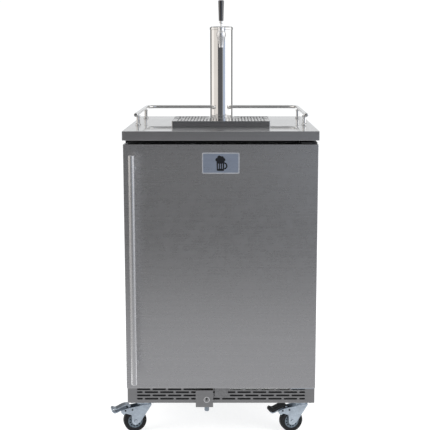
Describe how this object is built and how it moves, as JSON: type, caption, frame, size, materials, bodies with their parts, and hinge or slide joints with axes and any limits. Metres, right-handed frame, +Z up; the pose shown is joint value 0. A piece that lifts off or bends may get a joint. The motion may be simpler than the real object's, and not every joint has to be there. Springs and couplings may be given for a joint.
{
  "type": "kegerator",
  "caption": "Free-standing beer refrigerator on casters, with a hinged steel door, a lockable latch, a rail, a drip tray and a draught tower with a lever tap.",
  "frame": {"origin": "on the floor under the wheels, in the middle of the footprint that the worktop, the door handle and the left brake pedal span", "axes": "+Z up; +Y from the door towards the back; +X to the right as seen from the front"},
  "size_m": [0.669, 0.7397, 1.408],
  "materials": {
    "brushed_steel": "satin",
    "worktop_steel": "satin",
    "bright_steel": "polished",
    "zinc": "satin",
    "galvanised": "satin",
    "black_plastic": "satin",
    "handle_plastic": "gloss",
    "white_plastic": "satin",
    "line_plastic": "satin",
    "gasket_rubber": "matte",
    "tyre_rubber": "matte",
    "hub_plastic": "satin",
    "foam": "matte",
    "core_board": "satin",
    "black_paint": "satin",
    "badge_steel": "satin"
  },
  "bodies": {
    "cabinet": {"cabinet_shell": "brushed_steel", "insulation_foam": "foam", "inner_liner": "white_plastic", "base_pan": "galvanised", "rear_cover": "galvanised", "power_inlet": "black_plastic", "compressor": "black_paint", "condensate_pan": "white_plastic", "kick_grille": "brushed_steel", "evaporator_cover": "white_plastic", "thermostat_box": "white_plastic", "worktop_core": "core_board", "worktop": "worktop_steel", "guard_rail": "bright_steel", "rail_post_front_left": "bright_steel", "rail_post_rear_left": "bright_steel", "rail_post_front_right": "bright_steel", "rail_post_rear_right": "bright_steel", "tower_column": "bright_steel", "tower_cap": "bright_steel", "beer_shank": "bright_steel", "coupling_nut": "bright_steel", "faucet_body": "bright_steel", "beer_line": "line_plastic", "upper_hinge": "zinc", "lower_hinge": "zinc", "lock_housing": "brushed_steel", "front_left_caster_plate": "zinc", "rear_left_caster_plate": "zinc", "front_right_caster_plate": "zinc", "rear_right_caster_plate": "zinc"},
    "door": {"door_skin": "brushed_steel", "door_liner": "white_plastic", "door_gasket": "gasket_rubber", "door_handle": "brushed_steel", "badge_plate": "badge_steel", "lock_tab": "brushed_steel"},
    "tap": {"faucet_lever": "bright_steel", "tap_handle": "handle_plastic"},
    "shuttle": {"faucet_shuttle": "bright_steel"},
    "lock": {"lock_plug": "bright_steel", "lock_cam": "zinc"},
    "tray": {"drip_tray": "worktop_steel"},
    "grate": {"drip_grate": "worktop_steel"},
    "fan": {"fan_rotor": "black_plastic"},
    "dial": {"thermostat_dial": "black_plastic"},
    "front_left_swivel": {"front_left_caster_fork": "zinc"},
    "front_left_wheel": {"front_left_wheel_hub": "hub_plastic", "front_left_wheel_tyre": "tyre_rubber"},
    "front_left_pedal": {"front_left_brake_pedal": "zinc"},
    "rear_left_swivel": {"rear_left_caster_fork": "zinc"},
    "rear_left_wheel": {"rear_left_wheel_hub": "hub_plastic", "rear_left_wheel_tyre": "tyre_rubber"},
    "front_right_swivel": {"front_right_caster_fork": "zinc"},
    "front_right_wheel": {"front_right_wheel_hub": "hub_plastic", "front_right_wheel_tyre": "tyre_rubber"},
    "front_right_pedal": {"front_right_brake_pedal": "zinc"},
    "rear_right_swivel": {"rear_right_caster_fork": "zinc"},
    "rear_right_wheel": {"rear_right_wheel_hub": "hub_plastic", "rear_right_wheel_tyre": "tyre_rubber"}
  },
  "joints": [
    {"name": "door_hinge", "type": "hinge", "parent": "cabinet", "child": "door", "pos_m": [0.318, -0.276, 0.566], "axis": [0, 0, 1], "range_deg": [0, 110]},
    {"name": "tap_lever", "type": "hinge", "parent": "cabinet", "child": "tap", "pos_m": [0.03, -0.057, 1.311], "axis": [1, 0, 0], "range_deg": [0, 30]},
    {"name": "shuttle_slide", "type": "slide", "parent": "cabinet", "child": "shuttle", "axis": [0, 1, 0], "range_m": [0, 0.00654]},
    {"name": "lock_turn", "type": "hinge", "parent": "cabinet", "child": "lock", "pos_m": [-0.016, -0.292, 0.1336], "axis": [0, -1, 0], "range_deg": [0, 90]},
    {"name": "tray_lift", "type": "slide", "parent": "cabinet", "child": "tray", "axis": [0, 0, 1], "range_m": [0, 0.1]},
    {"name": "grate_lift", "type": "slide", "parent": "tray", "child": "grate", "axis": [0, 0, 1], "range_m": [0, 0.12]},
    {"name": "fan_spin", "type": "hinge", "parent": "cabinet", "child": "fan", "pos_m": [0.03, 0.275, 0.76], "axis": [0, 1, 0], "continuous": true},
    {"name": "thermostat_turn", "type": "hinge", "parent": "cabinet", "child": "dial", "pos_m": [0.26, -0.1, 0.86], "axis": [-1, 0, 0], "range_deg": [0, 270]},
    {"name": "front_left_swivel_turn", "type": "hinge", "parent": "cabinet", "child": "front_left_swivel", "pos_m": [-0.228, -0.212, 0.095], "axis": [0, 0, 1], "continuous": true},
    {"name": "front_left_wheel_roll", "type": "hinge", "parent": "front_left_swivel", "child": "front_left_wheel", "pos_m": [-0.25573, -0.22048, 0.0375], "axis": [0.2924, -0.9563, 0], "continuous": true},
    {"name": "front_left_brake", "type": "hinge", "parent": "front_left_swivel", "child": "front_left_pedal", "pos_m": [-0.27582, -0.22662, 0.088], "axis": [0.2924, -0.9563, 0], "range_deg": [0, 8]},
    {"name": "rear_left_swivel_turn", "type": "hinge", "parent": "cabinet", "child": "rear_left_swivel", "pos_m": [-0.228, 0.285, 0.095], "axis": [0, 0, 1], "continuous": true},
    {"name": "rear_left_wheel_roll", "type": "hinge", "parent": "rear_left_swivel", "child": "rear_left_wheel", "pos_m": [-0.25573, 0.27652, 0.0375], "axis": [0.2924, -0.9563, 0], "continuous": true},
    {"name": "front_right_swivel_turn", "type": "hinge", "parent": "cabinet", "child": "front_right_swivel", "pos_m": [0.288, -0.212, 0.095], "axis": [0, 0, 1], "continuous": true},
    {"name": "front_right_wheel_roll", "type": "hinge", "parent": "front_right_swivel", "child": "front_right_wheel", "pos_m": [0.26027, -0.22048, 0.0375], "axis": [0.2924, -0.9563, 0], "continuous": true},
    {"name": "front_right_brake", "type": "hinge", "parent": "front_right_swivel", "child": "front_right_pedal", "pos_m": [0.24018, -0.22662, 0.088], "axis": [0.2924, -0.9563, 0], "range_deg": [0, 8]},
    {"name": "rear_right_swivel_turn", "type": "hinge", "parent": "cabinet", "child": "rear_right_swivel", "pos_m": [0.288, 0.285, 0.095], "axis": [0, 0, 1], "continuous": true},
    {"name": "rear_right_wheel_roll", "type": "hinge", "parent": "rear_right_swivel", "child": "rear_right_wheel", "pos_m": [0.26027, 0.27652, 0.0375], "axis": [0.2924, -0.9563, 0], "continuous": true}
  ],
  "couplings": [
    {"joint": "shuttle_slide", "follows": "tap_lever", "m_per_rad": 0.0125}
  ]
}
